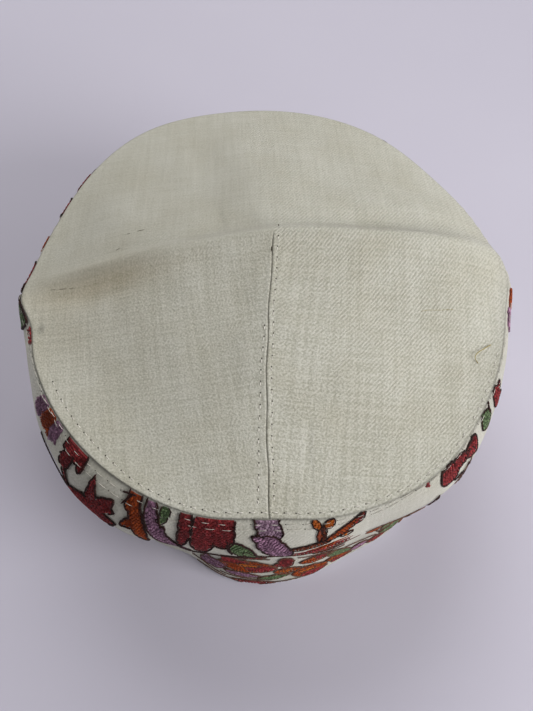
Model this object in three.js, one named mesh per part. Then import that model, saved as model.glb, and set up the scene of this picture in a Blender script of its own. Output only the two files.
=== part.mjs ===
// Soft wool cap that stands on its hem: a folded crown top over an upright band.
// Millimetres, +Z up, +X along the ridge, -Y to the dart seam in front.
import * as THREE from "three";

// Driving sizes
const BAND_HEIGHT = 90;
const PEAK_RISE = 27;
const BAND_THICK = 2.6;
const CROWN_THICK = 2;
const SEAM_GAP = 0.34;
const SEAM_BEVEL = 1.6;
const BAND_TOP_BEVEL = 2.2;

// Plan outlines at the rim seam and at the hem
const RIM_OVAL = { halfWidth: 94.5, halfDepth: 96, backShift: 3 };
const HEM_OVAL = { halfWidth: 88, halfDepth: 96.8, backShift: 1 };

// Where the peak stands in plan, and the bearings of the lines that leave it
const PEAK = { x: 2.5, y: 12 };
const CREASE_BEARINGS = { ridgeRight: 8, rearCrease: 97, ridgeLeft: 176.5, dartSeam: 268 };

// Corners and flats of the rim outline: bearing and spread in degrees, push outward
const RIM_PUSHES = [
  { name: "right corner", bearing: 4, spread: 7, push: 3.3 },
  { name: "left corner", bearing: 179.5, spread: 6, push: 3.4 },
  { name: "front flat at the seam", bearing: 268, spread: 11, push: -2.4 },
  { name: "front right swell", bearing: 307, spread: 17, push: 2.4 },
  { name: "right rear flat", bearing: 38, spread: 17, push: -3 },
  { name: "left rear swell", bearing: 121, spread: 17, push: 3.4 },
  { name: "left rear flat", bearing: 156, spread: 12, push: -1.6 },
];

// Places where the hem is drawn in on both sides of its front, in the same columns
const HEM_PUSHES = [
  { name: "front left hollow", bearing: 246, spread: 9, push: -4.2 },
  { name: "front right hollow", bearing: 292, spread: 12, push: -3.2 },
];

// Band sections from the hem up: how far each stands outside the line from hem to rim
const BAND_SECTIONS = [
  { height: 0, swell: 0 },
  { height: 10, swell: -1 },
  { height: 20, swell: -2 },
  { height: 30, swell: -2.6 },
  { height: 38, swell: -2.4 },
  { height: 46, swell: -1 },
  { height: 53, swell: 1.6 },
  { height: 60, swell: 5.2 },
  { height: 66, swell: 7.8 },
  { height: 71, swell: 8.6 },
  { height: 76, swell: 8 },
  { height: 81, swell: 6.3 },
  { height: 86, swell: 3.6 },
  { height: 90, swell: 0 },
];

// Share of the section swell around the band, by bearing in degrees
const SWELL_SHARES = [
  { bearing: 0, share: 0.7 },
  { bearing: 45, share: 0.55 },
  { bearing: 90, share: 0.5 },
  { bearing: 135, share: 0.5 },
  { bearing: 180, share: 0.5 },
  { bearing: 196, share: 0.62 },
  { bearing: 210, share: 1.05 },
  { bearing: 226, share: 1.36 },
  { bearing: 238, share: 1.36 },
  { bearing: 250, share: 0.95 },
  { bearing: 258, share: 0.82 },
  { bearing: 272, share: 0.74 },
  { bearing: 292, share: 0.42 },
  { bearing: 312, share: 0.72 },
  { bearing: 335, share: 0.72 },
  { bearing: 360, share: 0.7 },
];

// Fall of the ridge from the peak to each corner: 1 at the peak, 0 at the corner
const RIDGE_FALL = {
  right: { power: 2.2, round: 0.6 },
  left: { power: 1.8, round: 1.15 },
};

// Hollow of each panel between the ridge and the crease that runs across it
const PANEL_SAG = { front: 3.6, rear: 1.4 };
const SAG_EDGE_POWER = 4;

// Soft valleys beside the ridge: place along and across it, spread and depth
const CROWN_FOLDS = [
  { name: "right rear valley", along: 45, alongSpread: 38, across: 9, acrossSpread: 6, depth: 2.2 },
  { name: "left front dent", along: -68, alongSpread: 26, across: -9, acrossSpread: 8, depth: 3.4 },
  { name: "middle rear valley", along: -22, alongSpread: 16, across: 9, acrossSpread: 6, depth: 1.2 },
  { name: "rear furrow", along: -18, alongSpread: 10, across: 46, acrossSpread: 32, depth: 1.2 },
];

// Grid: steps in each quarter between two creases, and rings of the crown from peak to rim
const QUARTER_STEPS = 20;
const CROWN_RINGS = [0.06, 0.12, 0.2, 0.3, 0.42, 0.54, 0.66, 0.77, 0.86, 0.93, 0.975, 1];

const radians = (degrees) => (degrees * Math.PI) / 180;
const mix = (from, to, share) => from + (to - from) * share;

// Distance from the band's axis to an oval whose centre lies behind it, along one bearing.
function ovalReach(oval, bearing) {
  const across = Math.cos(radians(bearing)) / oval.halfWidth;
  const along = Math.sin(radians(bearing)) / oval.halfDepth;
  const shift = oval.backShift / oval.halfDepth;
  const square = across * across + along * along;
  return (along * shift + Math.sqrt(square - (across * shift) ** 2)) / square;
}

// Turn from one bearing to another, between -180 and 180 degrees.
function turnBetween(from, to) {
  return ((((to - from + 180) % 360) + 360) % 360) - 180;
}

// An oval with its corners and flats as bell-shaped pushes.
function pushedReach(oval, pushes, bearing) {
  let reach = ovalReach(oval, bearing);
  for (const row of pushes) {
    const turn = turnBetween(row.bearing, bearing) / row.spread;
    reach += row.push * Math.exp(-turn * turn);
  }
  return reach;
}

// Outline of the rim seam, and of the hem that the cap stands on.
const rimReach = (bearing) => pushedReach(RIM_OVAL, RIM_PUSHES, bearing);
const hemReach = (bearing) => pushedReach(HEM_OVAL, HEM_PUSHES, bearing);

// Swell share between two rows of the table, eased so that no step shows.
function swellShare(bearing) {
  const turn = ((bearing % 360) + 360) % 360;
  const next = SWELL_SHARES.findIndex((row) => row.bearing > turn);
  const before = SWELL_SHARES[next - 1];
  const after = SWELL_SHARES[next];
  const place = (turn - before.bearing) / (after.bearing - before.bearing);
  const ease = (1 - Math.cos(Math.PI * place)) / 2;
  return mix(before.share, after.share, ease);
}

// Outer reach of the band: straight from hem outline to rim outline, plus the swell.
function bandReach(bearing, section) {
  const straight = mix(hemReach(bearing), rimReach(bearing), section.height / BAND_HEIGHT);
  return straight + section.swell * swellShare(bearing);
}

// The grid directions: each quarter between two creases is cut into equal steps.
// Leaning is the angle from the ridge line: 0 on the ridge, 90 on the seam or the rear crease.
function gridDirections() {
  const { ridgeRight, rearCrease, ridgeLeft, dartSeam } = CREASE_BEARINGS;
  const quarters = [
    { from: ridgeRight, to: rearCrease, side: 1, facing: 1, rising: true },
    { from: rearCrease, to: ridgeLeft, side: -1, facing: 1, rising: false },
    { from: ridgeLeft, to: dartSeam, side: -1, facing: -1, rising: true },
    { from: dartSeam, to: ridgeRight + 360, side: 1, facing: -1, rising: false },
  ];
  const directions = [];
  for (const quarter of quarters) {
    for (let step = 0; step < QUARTER_STEPS; step += 1) {
      const share = step / QUARTER_STEPS;
      const leaning = radians(90 * (quarter.rising ? share : 1 - share));
      const bearing = mix(quarter.from, quarter.to, share);
      directions.push({ bearing, leaning, side: quarter.side, facing: quarter.facing });
    }
  }
  return directions;
}

// How far a panel has sagged on the way from the peak to the rim: 0 at both ends, 1 at the deepest.
function sagShape(share) {
  const shape = (part) => part * (1 - part ** SAG_EDGE_POWER);
  const deepest = (1 / (1 + SAG_EDGE_POWER)) ** (1 / SAG_EDGE_POWER);
  return shape(share) / shape(deepest);
}

// Height of the crown above the rim, like a roof: the ridge falls from the peak to the corners,
// straight rafters fall from the ridge to the rim, and the panels sag a little between creases.
function crownRise(direction, share) {
  const { leaning, side, facing } = direction;
  const along = Math.min(share * Math.cos(leaning), 0.9999);
  const across = Math.min((share * Math.sin(leaning)) / Math.sqrt(1 - along * along), 1);
  const fall = side > 0 ? RIDGE_FALL.right : RIDGE_FALL.left;
  const ridge = (1 - along ** fall.power) ** fall.round;
  const sag = facing > 0 ? PANEL_SAG.rear : PANEL_SAG.front;
  let rise = PEAK_RISE * ridge * (1 - across);
  rise -= sag * Math.sin(2 * leaning) * sagShape(share);
  const alongPlace = side * share * Math.cos(leaning) * RIM_OVAL.halfWidth;
  const acrossPlace = facing * share * Math.sin(leaning) * RIM_OVAL.halfDepth;
  for (const row of CROWN_FOLDS) {
    const near = (alongPlace - row.along) / row.alongSpread;
    const beside = (acrossPlace - row.across) / row.acrossSpread;
    rise -= row.depth * Math.exp(-near * near - beside * beside) * (1 - share ** 8);
  }
  return rise;
}

// One point of the crown: the share of the way from the peak to the rim in plan, set back there.
function crownPoint(direction, share, setBack, drop) {
  const reach = rimReach(direction.bearing) - setBack;
  const rimX = reach * Math.cos(radians(direction.bearing));
  const rimY = reach * Math.sin(radians(direction.bearing));
  const fullReach = rimReach(direction.bearing);
  const height = crownRise(direction, share * (1 - (setBack - SEAM_GAP) / fullReach));
  return [mix(PEAK.x, rimX, share), mix(PEAK.y, rimY, share), BAND_HEIGHT + height - drop];
}

// One point of the band at a bearing, a height and a reach.
function bandPoint(bearing, reach, height) {
  return [reach * Math.cos(radians(bearing)), reach * Math.sin(radians(bearing)), height];
}

// Skin over a row of rings that all have the same number of points, counted anticlockwise.
// A ring of one point is a pole; with closed set, the last ring joins the first.
function skin(rings, closed) {
  const places = [];
  const starts = [];
  for (const ring of rings) {
    starts.push(places.length / 3);
    ring.forEach((point) => places.push(...point));
  }
  const faces = [];
  const count = Math.max(...rings.map((ring) => ring.length));
  const joins = closed ? rings.length : rings.length - 1;
  for (let lower = 0; lower < joins; lower += 1) {
    const upper = (lower + 1) % rings.length;
    for (let step = 0; step < count; step += 1) {
      const next = (step + 1) % count;
      const lowPole = rings[lower].length === 1;
      const highPole = rings[upper].length === 1;
      const a = starts[lower] + (lowPole ? 0 : step);
      const b = starts[lower] + (lowPole ? 0 : next);
      const c = starts[upper] + (highPole ? 0 : next);
      const d = starts[upper] + (highPole ? 0 : step);
      if (!lowPole) faces.push(a, b, c);
      if (!highPole) faces.push(a, c, d);
    }
  }
  const geometry = new THREE.BufferGeometry();
  geometry.setAttribute("position", new THREE.Float32BufferAttribute(places, 3));
  geometry.setIndex(faces);
  geometry.computeVertexNormals();
  return geometry;
}

// Crown: under side from the middle out, then the upper side back to the peak.
function crownGeometry(directions) {
  const peak = directions[0];
  const rings = [[crownPoint(peak, 0, SEAM_GAP, CROWN_THICK)]];
  const inward = SEAM_GAP + SEAM_BEVEL;
  for (const share of CROWN_RINGS) {
    rings.push(directions.map((way) => crownPoint(way, share, inward, CROWN_THICK)));
  }
  for (const share of [...CROWN_RINGS].reverse()) {
    rings.push(directions.map((way) => crownPoint(way, share, SEAM_GAP, 0)));
  }
  rings.push([crownPoint(peak, 0, SEAM_GAP, 0)]);
  return skin(rings, false);
}

// Band: up the outside, over the top edge, and down the inside to the flat hem ring.
function bandGeometry(directions) {
  const rings = [];
  for (const section of BAND_SECTIONS) {
    rings.push(
      directions.map(({ bearing }) => bandPoint(bearing, bandReach(bearing, section), section.height)),
    );
  }
  const inner = [...BAND_SECTIONS].reverse();
  const rim = inner[0];
  const bevelShare = BAND_TOP_BEVEL / (rim.height - inner[1].height);
  inner[0] = {
    height: rim.height - BAND_TOP_BEVEL,
    swell: mix(rim.swell, inner[1].swell, bevelShare),
  };
  for (const section of inner) {
    rings.push(
      directions.map(({ bearing }) =>
        bandPoint(bearing, bandReach(bearing, section) - BAND_THICK, section.height),
      ),
    );
  }
  return skin(rings, true);
}

const directions = gridDirections();
const offWhiteTwill = new THREE.MeshStandardMaterial({
  color: "#c9c6b8",
  roughness: 0.92,
  metalness: 0,
});
const embroideredTwill = new THREE.MeshStandardMaterial({
  color: "#c3a99b",
  roughness: 0.9,
  metalness: 0,
});

const crownTop = new THREE.Mesh(crownGeometry(directions), offWhiteTwill);
crownTop.name = "crown_top";
const sideBand = new THREE.Mesh(bandGeometry(directions), embroideredTwill);
sideBand.name = "side_band";

// The cap is moved so that the middle of its outline stands over the origin.
const group = new THREE.Group();
group.name = "kashmiri_cap";
group.add(crownTop, sideBand);
const outline = new THREE.Box3().setFromObject(group);
const middle = outline.getCenter(new THREE.Vector3());
crownTop.position.set(-middle.x, -middle.y, 0);
sideBand.position.set(-middle.x, -middle.y, 0);

export default group;
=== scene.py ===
"""Looks of a soft wool cap: crown and band of off-white twill, and the chain stitch flowers on the band."""

import bpy
import numpy as np
from mathutils import Matrix


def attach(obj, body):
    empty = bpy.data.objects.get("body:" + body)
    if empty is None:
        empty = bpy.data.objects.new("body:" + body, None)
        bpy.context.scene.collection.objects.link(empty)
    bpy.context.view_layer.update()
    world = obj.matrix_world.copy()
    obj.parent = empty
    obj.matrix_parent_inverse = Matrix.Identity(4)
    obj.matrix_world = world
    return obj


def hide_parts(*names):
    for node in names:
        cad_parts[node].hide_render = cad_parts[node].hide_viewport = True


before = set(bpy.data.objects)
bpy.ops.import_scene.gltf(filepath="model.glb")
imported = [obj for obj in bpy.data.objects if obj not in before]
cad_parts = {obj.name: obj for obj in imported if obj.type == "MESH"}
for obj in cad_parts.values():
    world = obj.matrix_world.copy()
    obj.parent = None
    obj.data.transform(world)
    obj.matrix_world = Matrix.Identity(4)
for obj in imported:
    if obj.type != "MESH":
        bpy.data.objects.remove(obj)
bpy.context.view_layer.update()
rng = np.random.default_rng(90)

MM = 0.001


def columns(names, rows):
    """A short table as named columns, from its rows."""
    return dict(zip(names.split(), np.array(rows, float).T))


# The cap's outline, the same sizes as its solids: millimetres, bearings in degrees from the right.
BAND_HEIGHT = 90.0
BAND_THICK = 2.6
CROWN_THICK = 2.0
MIDDLE = np.array([0.715, 2.46])
# Plan ovals of the rim and the hem, with bell-shaped pushes at their corners and hollows
RIM_OVAL = {"half_width": 94.5, "half_depth": 96.0, "back_shift": 3.0}
HEM_OVAL = {"half_width": 88.0, "half_depth": 96.8, "back_shift": 1.0}
RIM_PUSHES = columns(
    "bearing spread push",
    [
        (4, 7, 3.3),
        (179.5, 6, 3.4),
        (187, 6, -1.6),
        (268, 11, -2.4),
        (307, 17, 2.4),
        (38, 17, -3),
        (121, 17, 3.4),
        (156, 12, -1.6),
    ],
)
HEM_PUSHES = columns("bearing spread push", [(246, 9, -4.2), (292, 12, -3.2)])
# The band's swell by height, and the share of it at each bearing
BAND_SECTIONS = columns(
    "height swell",
    [
        (0, 0),
        (10, -1),
        (20, -2),
        (30, -2.6),
        (38, -2.4),
        (46, -1),
        (53, 1.6),
        (60, 5.2),
        (66, 7.8),
        (71, 8.6),
        (76, 8),
        (81, 6.3),
        (86, 3.6),
        (90, 0),
    ],
)
SWELL_SHARES = columns(
    "bearing share",
    [
        (0, 0.7),
        (45, 0.55),
        (90, 0.5),
        (135, 0.5),
        (180, 0.56),
        (188, 0.84),
        (196, 0.76),
        (210, 1.05),
        (226, 1.36),
        (238, 1.36),
        (250, 0.95),
        (258, 0.82),
        (272, 0.74),
        (292, 0.42),
        (312, 0.72),
        (335, 0.72),
        (360, 0.7),
    ],
)
# Soft waves of the band: turns round it, how they tilt with height, phase and height
BAND_WAVES = columns(
    "turns tilt phase height",
    [(7, 0.07, 0.7, 0.35), (13, -0.11, 0, 0.22), (29, 0.16, 2, 0.1)],
)

# Painted light and shade on the band's cloth: how much lighter or darker it is made in places
BAND_LIGHT_AND_SHADE = columns(
    "bearing spread amount",
    [(247, 4, 0.13), (263.5, 3.5, -0.07), (276, 6, 0.05), (301, 12, -0.11), (334, 13, -0.13)],
)
# Painted shade in the ditch of the rim seam: how dark and how wide it is, and how much darker at the front
# left
RIM_DITCH = {"dark": 0.42, "inside": 0.36, "darker": 0.28, "bearing": 226, "spread": 34}
# Painted shade on the crown's edge where it rolls over at the right: how dark it is, where, and how far
# inside the rim
RIM_ROLL = {"dark": 0.2, "bearing": 350, "spread": 26, "inside": 5.5}
# How clear the band's wales are, and how grainy its cloth
BAND_NAP = {"wale": 0.35, "grain": 0.8}

# The solid that a piece stands for, and the slot of its finish
CROWN = ("crown_top", "off_white_twill")
BAND = ("side_band", "embroidered_twill")
# Points of one strand of thread: its two ends, and two rings of three
STRAND_POINTS = 8

# The crown: a tent with a cross ridge, closed in front by a dart seam.
PEAK = np.array([2.5, 12.0])
PEAK_RISE = 27.0
# Its rounded edge: how far inside the rim each ring is, and how far below it
CROWN_EDGE = [(0.05, 0.2), (0.3, 0.45), (0.9, 1.0)]
# The bearings of its creases: ridge and seam, in quarters from the right
CREASES = np.array([8.0, 97.0, 176.5, 268.4, 368.0])
# How the ridge falls away to its ends, as two powers for each, and how round its top is
RIDGE_FALL = {"right": (2.2, 0.6), "left": (1.8, 1.15)}
RIDGE_ROUND = 0.014
# How far the panels sag in front of the ridge and behind it
PANEL_SAG = {"front": 3.6, "rear": 1.4}
# What brings a share times one minus its fourth power to one where it is most
SAG_WHOLE = 1.87
# Soft spots of the crown lie along the ridge to the right and across it to the back
SPOT = "along along_spread across across_spread amount"
# How deep its folds are; the one with a minus is a rise
CROWN_FOLDS = columns(
    SPOT,
    [
        (45, 38, 9, 6, 2.2),
        (40, 42, 4.5, 3.5, 1.6),
        (-68, 26, -9, 7, 2.2),
        (-22, 16, 9, 6, 1.2),
        (-32, 34, 4.5, 3.5, 1.2),
        (-18, 10, 46, 32, 1.3),
        (-64, 20, 42, 26, -2.2),
    ],
)
# The crisp dent in front of the ridge's left end: where it is deepest, its spread, and its depth
RIDGE_DENT = {"along": -82, "along_spread": 27, "ahead": 4.2, "depth": 1.8}
# Painted shade where the cloth is creased: along the ridge, in thin streaks, and low in front
CROWN_CREASE_SHADE = columns(
    SPOT,
    [
        (52, 42, 4.6, 4.2, 0.18),
        (-18, 22, 2.6, 2.6, 0.1),
        (-66, 28, -2.2, 2.4, 0.07),
        (-18, 0.8, 13, 8, 0.13),
        (-6, 0.8, 11, 9, 0.06),
        (-78, 7, -6, 1.4, 0.12),
        (-88.9, 1.5, -20, 1.8, 0.42),
        (14, 0.7, -75, 11, 0.13),
        (24, 11, -83.8, 0.7, 0.05),
    ],
)
# Where the cloth is soiled: on the front of the ridge's left end, and faintly down the left
CROWN_SOIL = columns(SPOT, [(-64, 26, -6, 6, 0.3), (-80, 30, -20, 24, 0.08)])
# Plain waves of the crown's cloth
CROWN_WAVES = columns(
    "length heading phase height",
    [
        (61, 20, 0.4, 0.3),
        (43, 75, 1.9, 0.22),
        (29, 130, 2.6, 0.12),
        (19, 40, 0.9, 0.06),
        (13, 100, 4.1, 0.04),
    ],
)
# How clear the wales are round the crown, and how grainy the cloth: smooth behind, crisp at the right
NAP = columns(
    "turn wale grain",
    [
        (0, 0.9, 1.1),
        (0.12, 0.85, 1),
        (0.9, 0.8, 0.9),
        (1.1, 0.3, 0.6),
        (2, 0.2, 0.6),
        (2.1, 0.25, 1),
        (2.999, 0.3, 1.2),
        (3, 0.9, 1.3),
        (3.25, 1.2, 1.35),
        (3.8, 1.2, 1.35),
        (4, 0.9, 1.1),
    ],
)
# Where the wales are worn away: low in front and along the seam, to its right
CROWN_WORN = columns(SPOT, [(18, 30, -86, 34, 0.6), (8, 15, -44, 38, 0.5)])
# How far the cloth's pattern turns at the dart, in degrees for each quarter
DART_TURN = 8.25
# How far the dart seam bows to the left, and the small wave of its sewing
SEAM_BOW = 1.9
SEAM_WAVER = 0.2
# Relief across the dart seam: a thin groove with a fuller edge on each side
SEAM_RELIEF = columns("right spread height", [(0, 0.28, -0.5), (1, 0.7, 0.1), (-0.9, 0.6, 0.05)])
# The seam's allowance that shows through: its height, half its width at the peak, and how that grows
ALLOWANCE = {"height": 0.1, "half_width": 5, "growth": 0.11}
# How far inside the rim its edge rounds over, and by how much
RIM_EDGE = {"inside": 1.2, "drop": 0.25}
# The dark line along the dart seam, painted shade in its groove: how dark it is, how uneven, and its spread
SEAM_SHADE = {"dark": 0.42, "uneven": 0.1, "spread": 0.26}
# How deep and how wide a sewn row presses the cloth, beside the seam and inside the rim
SEAM_PRESS = {"depth": 0.06, "spread": 0.5}
RIM_PRESS = {"depth": 0.07, "spread": 0.7}


def oval_reach(oval, bearing):
    """How far an oval reaches from the origin at a bearing, where its centre is shifted to the back."""
    a = np.cos(np.radians(bearing)) / oval["half_width"]
    b = np.sin(np.radians(bearing)) / oval["half_depth"]
    shift = oval["back_shift"] / oval["half_depth"]
    square = a**2 + b**2
    return (b * shift + np.sqrt(square - (a * shift) ** 2)) / square


def pushed_reach(oval, pushes, bearing):
    """An oval with a bell-shaped push added at each of its corners and hollows."""
    bearing = np.asarray(bearing, float)
    turn = (bearing[..., None] - pushes["bearing"] + 180) % 360 - 180
    bells = pushes["push"] * np.exp(-((turn / pushes["spread"]) ** 2))
    return oval_reach(oval, bearing) + bells.sum(-1)


def rim_points(bearing):
    """Plan places of the rim seam."""
    reach = pushed_reach(RIM_OVAL, RIM_PUSHES, bearing)[..., None]
    return reach * np.stack([np.cos(np.radians(bearing)), np.sin(np.radians(bearing))], -1)


def smooth_rows(place, at, value):
    """A smooth curve through rows: cubics whose slope at a row is that of its neighbours' chord."""
    slope = np.gradient(value, at)
    row = np.clip(np.searchsorted(at, place, side="right") - 1, 0, len(at) - 2)
    step = at[row + 1] - at[row]
    t = (place - at[row]) / step
    start = value[row] * (2 * t**3 - 3 * t**2 + 1) + slope[row] * step * (t**3 - 2 * t**2 + t)
    end = value[row + 1] * (3 * t**2 - 2 * t**3) + slope[row + 1] * step * (t**3 - t**2)
    return start + end


def eased_rows(place, at, value):
    """A curve through rows that eases out of each row and into the next by half a cosine."""
    row = np.clip(np.searchsorted(at, place, side="right") - 1, 0, len(at) - 2)
    share = (place - at[row]) / (at[row + 1] - at[row])
    return value[row] + (value[row + 1] - value[row]) * (1 - np.cos(np.pi * share)) / 2


def smooth_step(value):
    """Goes from 0 to 1 with a flat start and end."""
    share = np.clip(value, 0, 1)
    return share * share * (3 - 2 * share)


def band_surface(bearing, height, set_back=0.0):
    """The band's face: straight from hem to rim, plus the swell's share at that bearing and soft waves."""
    bearing, height = np.broadcast_arrays(np.asarray(bearing, float), np.asarray(height, float))
    hem = pushed_reach(HEM_OVAL, HEM_PUSHES, bearing)
    rim = pushed_reach(RIM_OVAL, RIM_PUSHES, bearing)
    straight = hem + (rim - hem) * height / BAND_HEIGHT
    swell = smooth_rows(height, BAND_SECTIONS["height"], BAND_SECTIONS["swell"])
    share = eased_rows(bearing % 360, SWELL_SHARES["bearing"], SWELL_SHARES["share"])
    angle = np.radians(bearing)[..., None] * BAND_WAVES["turns"]
    angle = angle + height[..., None] * BAND_WAVES["tilt"] + BAND_WAVES["phase"]
    waves = np.sin(angle) * BAND_WAVES["height"]
    slack = 4 * (height / BAND_HEIGHT) * (1 - height / BAND_HEIGHT)
    reach = straight + swell * share + waves.sum(-1) * np.clip(slack, 0, 1) - set_back
    x = reach * np.cos(np.radians(bearing)) - MIDDLE[0]
    y = reach * np.sin(np.radians(bearing)) - MIDDLE[1]
    return np.stack([x, y, height], -1)


def unit(vectors):
    """Vectors of length one."""
    return vectors / np.maximum(np.linalg.norm(vectors, axis=-1, keepdims=True), 1e-9)


def band_frame(bearing, height):
    """Points on the band's face and their outward normals, from the slopes round the band and up it."""
    round_it = band_surface(bearing + 0.2, height) - band_surface(bearing - 0.2, height)
    up_it = band_surface(bearing, height + 0.2) - band_surface(bearing, height - 0.2)
    return band_surface(bearing, height), unit(np.cross(round_it, up_it))


SEAM_FOOT = rim_points(CREASES[3])
SEAM_LONG = np.linalg.norm(SEAM_FOOT - PEAK)
SEAM_WAY = (SEAM_FOOT - PEAK) / SEAM_LONG
SEAM_RIGHT = np.array([-SEAM_WAY[1], SEAM_WAY[0]])
# Sewn rows beside the dart seam: where each begins, how far to its right, and how that grows
SEAM_ROWS = columns("begin right growth", [(3, 1.9, 0), (36, 0.1, -0.0385)])
# How far inside the rim its sewn row runs
RIM_ROW = columns(
    "bearing inside",
    [
        (0, 2.2),
        (120, 2.6),
        (180, 3.4),
        (205, 4.2),
        (222, 4.2),
        (242, 2.4),
        (258, 2),
        (320, 1.8),
        (360, 2.2),
    ],
)


def rim_bearing(turn):
    """The bearing at which a turn of the crown, counted in quarters, meets the rim."""
    return np.interp(turn, np.arange(5), CREASES)


def row_inside(bearing):
    """How far inside the rim its sewn row runs at a bearing."""
    return eased_rows(bearing % 360, RIM_ROW["bearing"], RIM_ROW["inside"])


def quarter_of(turn):
    """Which quarter of the crown a turn is in, and its angle away from the ridge."""
    quarter = np.clip(np.floor(turn).astype(int), 0, 3)
    part = turn - quarter
    return quarter, np.pi / 2 * np.where(quarter % 2 == 0, part, 1 - part)


def ridge_way(turn, share):
    """Places as millimetres along the ridge to the right, and across it to the back."""
    quarter, leaning = quarter_of(turn)
    along = np.where((quarter == 0) | (quarter == 3), 1, -1) * share * np.cos(leaning)
    across = np.where(quarter < 2, 1, -1) * share * np.sin(leaning)
    return along * RIM_OVAL["half_width"], across * RIM_OVAL["half_depth"]


def soft_spots(along, across, spots):
    """A sum of bells, each with its own place and spread along the ridge and across it."""
    x = (along[..., None] - spots["along"]) / spots["along_spread"]
    y = (across[..., None] - spots["across"]) / spots["across_spread"]
    return (spots["amount"] * np.exp(-(x**2) - y**2)).sum(-1)


def seam_way(turn, share):
    """Places as millimetres from the peak in plan, down the dart seam, right of it, and inside the rim."""
    outward = rim_points(rim_bearing(turn)) - PEAK
    from_peak = outward * share[..., None]
    to_rim = np.linalg.norm(outward, axis=-1) * (1 - share)
    return from_peak, from_peak @ SEAM_WAY, from_peak @ SEAM_RIGHT, to_rim


def seam_bow(down_seam, beside_seam):
    """How far the seam bows to the left: half a sine down its length, and a small wave of the sewing."""
    long_bow = SEAM_BOW * np.sin(np.pi * np.clip(down_seam / SEAM_LONG, 0, 1)) * bell(beside_seam, 16)
    return long_bow + SEAM_WAVER * np.sin(down_seam / 3.7) * bell(beside_seam, 4)


def crown_surface(turn, share):
    """The crown's face, and the flat pattern of its cloth.

    A place is a turn, counted in quarters, and a share of the way from the peak to the rim. The rise is a
    ridge that falls away to its ends, times one minus the way across, less a sag in each panel, folds as
    bells and a dent that starts sharply at the ridge, plus the relief of the sewing and a few plain waves.
    """
    turn, share = np.broadcast_arrays(np.asarray(turn, float) % 4, np.asarray(share, float))
    quarter, leaning = quarter_of(turn)
    right = (quarter == 0) | (quarter == 3)
    rear = quarter < 2
    along = np.clip(share * np.cos(leaning), 0, 0.9999)
    across = np.clip(share * np.sin(leaning) / np.sqrt(1 - along**2), 0, 1)
    rounded = (np.hypot(across, RIDGE_ROUND) - RIDGE_ROUND) / (np.hypot(1, RIDGE_ROUND) - RIDGE_ROUND)
    falls = {end: (1 - along ** power[0]) ** power[1] for end, power in RIDGE_FALL.items()}
    rise = PEAK_RISE * np.where(right, falls["right"], falls["left"]) * (1 - rounded)
    hollow = np.sin(2 * leaning).clip(0)
    sag = np.where(rear, PANEL_SAG["rear"] * hollow**1.7, PANEL_SAG["front"] * hollow)
    rise = rise - sag * SAG_WHOLE * share * (1 - share**4)
    ridge_along, ridge_across = ridge_way(turn, share)
    ahead = np.clip(-ridge_across, 0, None) / RIDGE_DENT["ahead"]
    dent = ahead * np.exp(1 - ahead) * bell(ridge_along - RIDGE_DENT["along"], RIDGE_DENT["along_spread"])
    folds = soft_spots(ridge_along, ridge_across, CROWN_FOLDS) + RIDGE_DENT["depth"] * dent
    rise = rise - folds * (1 - share**8)

    from_peak, down_seam, beside_seam, to_rim = seam_way(turn, share)
    from_row = to_rim - row_inside(rim_bearing(turn))
    rise = rise + crown_relief(down_seam, beside_seam, to_rim, from_row)
    heading = np.radians(CROWN_WAVES["heading"])
    wave_way = from_peak[..., :1] * np.cos(heading) + from_peak[..., 1:] * np.sin(heading)
    angle = 2 * np.pi * wave_way / CROWN_WAVES["length"] + CROWN_WAVES["phase"]
    waves = CROWN_WAVES["height"] * np.sin(angle)
    rise = rise + waves.sum(-1) * (1 - share**6)

    x = PEAK[0] + from_peak[..., 0] - seam_bow(down_seam, beside_seam) - MIDDLE[0]
    y = PEAK[1] + from_peak[..., 1] - MIDDLE[1]
    dart = -np.radians(DART_TURN) * np.where(rear, 0, np.where(right, turn - 4, turn - 2))
    flat_x = from_peak[..., 0] * np.cos(dart) - from_peak[..., 1] * np.sin(dart)
    flat_y = from_peak[..., 0] * np.sin(dart) + from_peak[..., 1] * np.cos(dart)
    return np.stack([x, y, BAND_HEIGHT + rise], -1), np.stack([flat_x, flat_y], -1)


def bell(way, spread):
    """One at the middle, falling away on both sides."""
    return np.exp(-((way / spread) ** 2))


def crown_relief(down_seam, beside_seam, to_rim, from_row):
    """Low relief of the sewing: a thin groove along the dart seam with fuller edges, the allowance that
    shows through beside it, lines pressed by the sewn rows, and the rim's rounded edge."""
    lines = bell(beside_seam[..., None] - SEAM_RELIEF["right"], SEAM_RELIEF["spread"])
    groove = (SEAM_RELIEF["height"] * lines).sum(-1)
    for begin, right, growth in zip(*SEAM_ROWS.values()):
        line = bell(beside_seam - right - growth * down_seam, SEAM_PRESS["spread"])
        groove = groove - SEAM_PRESS["depth"] * line * smooth_step((down_seam - begin) / 6)
    half_width = ALLOWANCE["half_width"] + ALLOWANCE["growth"] * down_seam
    allowance = ALLOWANCE["height"] * smooth_step((half_width - np.abs(beside_seam)) / 6 + 0.5)
    edge = np.clip(1 - to_rim / RIM_EDGE["inside"], 0, 1)
    rounding = -RIM_EDGE["drop"] * (1 - np.sqrt(1 - edge**2 * 0.98))
    rounding = rounding - RIM_PRESS["depth"] * bell(from_row, RIM_PRESS["spread"])
    return (groove + allowance) * smooth_step(down_seam / 5) + rounding


def crown_frame(turn, share):
    """Points on the crown's face and their upward normals, from its slopes outward and round."""
    outward = crown_surface(turn, share + 0.004)[0] - crown_surface(turn, share - 0.004)[0]
    round_it = crown_surface(turn + 0.004, share)[0] - crown_surface(turn - 0.004, share)[0]
    return crown_surface(turn, share)[0], unit(np.cross(outward, round_it))


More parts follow.
